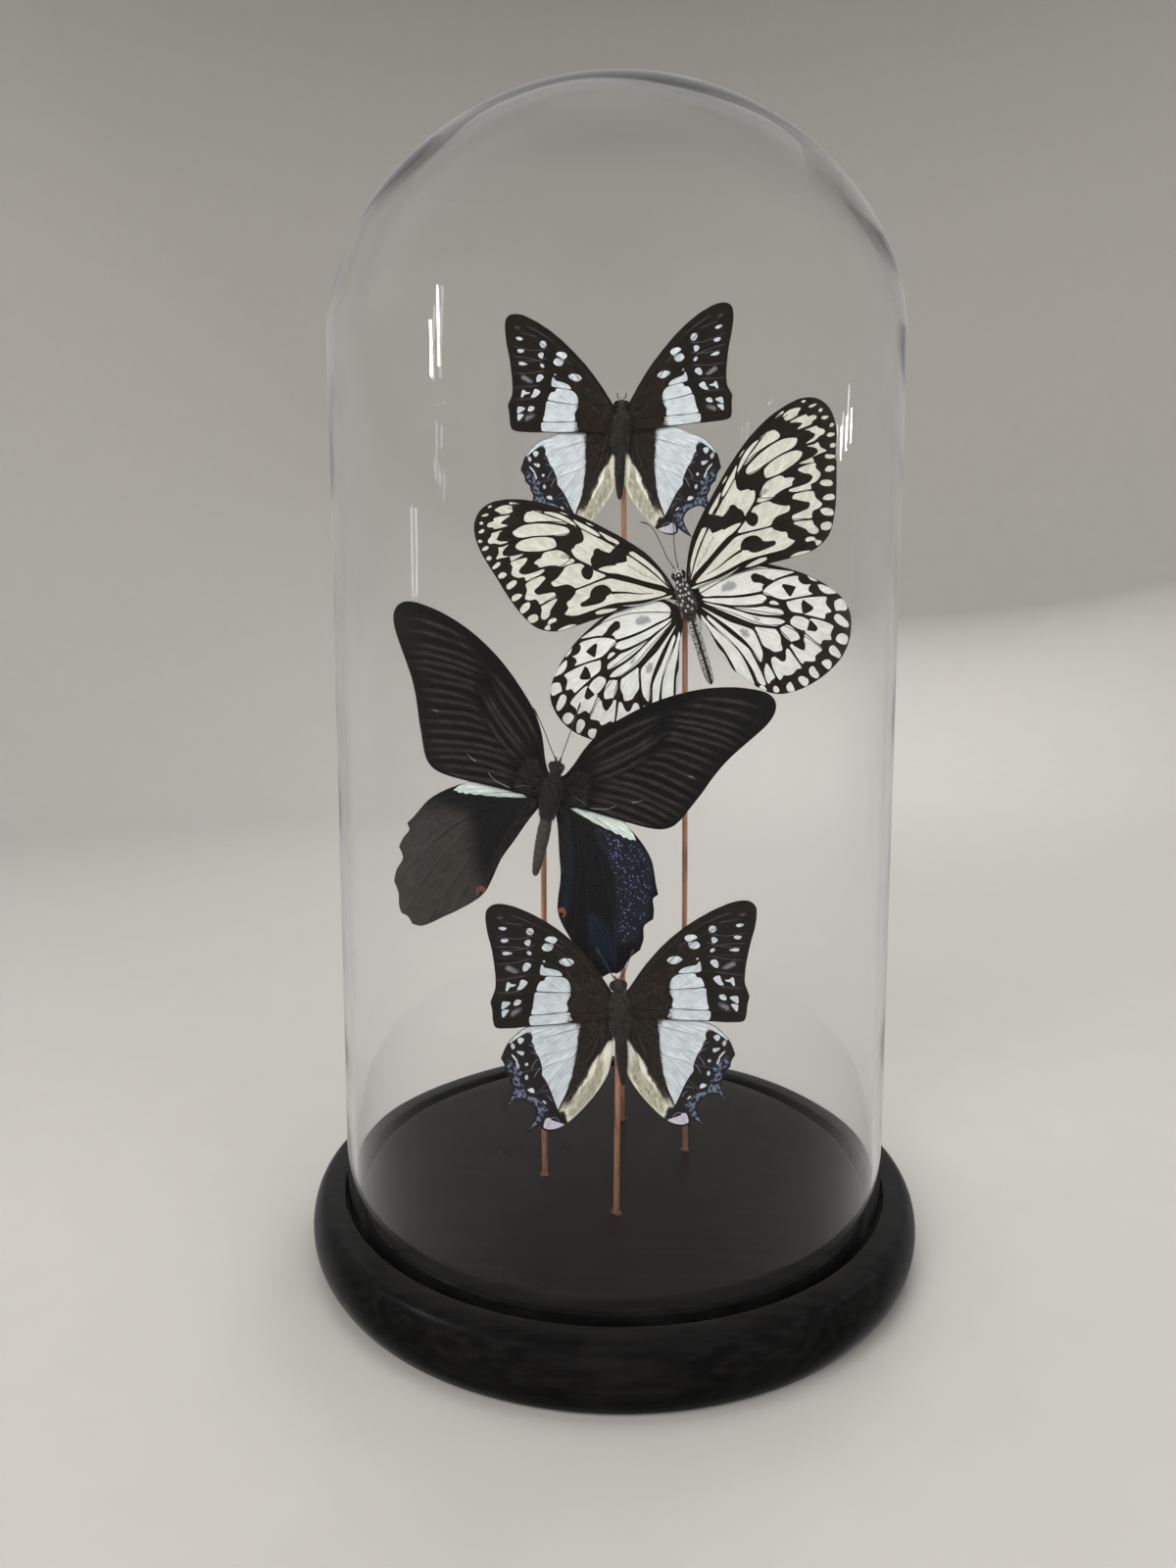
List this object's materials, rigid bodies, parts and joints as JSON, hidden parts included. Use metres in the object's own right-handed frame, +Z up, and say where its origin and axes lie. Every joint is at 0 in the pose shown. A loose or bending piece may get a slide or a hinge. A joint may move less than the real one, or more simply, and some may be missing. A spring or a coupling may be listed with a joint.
{
  "type": "insect display in glass dome",
  "caption": "Tall round glass dome on a turned black wooden base, with mounted dried butterflies spread on upright copper rods inside.",
  "frame": {"origin": "centre of the base's flat underside, where the display stands", "axes": "+Z up along the dome's axis; the butterflies' upper sides face -Y, and +X is to the right as they are looked at"},
  "size_m": [0.225, 0.225, 0.4036],
  "materials": {
    "lacquered_wood": "satin black lacquer on turned wood",
    "clear_glass": "clear hand-blown glass with a slightly green edge",
    "copper": "drawn copper rod, lightly tarnished",
    "nawab_wing": "matt wing scales, dark brown with white bands and spots",
    "nawab_body": "short dense fur",
    "swallowtail_wing": "velvety black wing scales",
    "swallowtail_body": "short dense fur",
    "kite_wing": "papery cream wing with black veins and spots",
    "kite_body": "short fur, black with white spots"
  },
  "bodies": {
    "root": {"base": "lacquered_wood", "glass_dome": "clear_glass", "rod_front": "copper", "rod_left": "copper", "rod_right": "copper", "rod_back": "copper", "front_nawab_body": "nawab_body", "front_nawab_forewing_r": "nawab_wing", "front_nawab_hindwing_r": "nawab_wing", "front_nawab_antenna_r": "nawab_body", "front_nawab_forewing_l": "nawab_wing", "front_nawab_hindwing_l": "nawab_wing", "front_nawab_antenna_l": "nawab_body", "back_nawab_body": "nawab_body", "back_nawab_forewing_r": "nawab_wing", "back_nawab_hindwing_r": "nawab_wing", "back_nawab_antenna_r": "nawab_body", "back_nawab_forewing_l": "nawab_wing", "back_nawab_hindwing_l": "nawab_wing", "back_nawab_antenna_l": "nawab_body", "left_swallowtail_body": "swallowtail_body", "left_swallowtail_forewing_r": "swallowtail_wing", "left_swallowtail_hindwing_r": "swallowtail_wing", "left_swallowtail_antenna_r": "swallowtail_body", "left_swallowtail_forewing_l": "swallowtail_wing", "left_swallowtail_hindwing_l": "swallowtail_wing", "left_swallowtail_antenna_l": "swallowtail_body", "right_kite_body": "kite_body", "right_kite_forewing_r": "kite_wing", "right_kite_hindwing_r": "kite_wing", "right_kite_antenna_r": "kite_body", "right_kite_forewing_l": "kite_wing", "right_kite_hindwing_l": "kite_wing", "right_kite_antenna_l": "kite_body"}
  },
  "joints": []
}
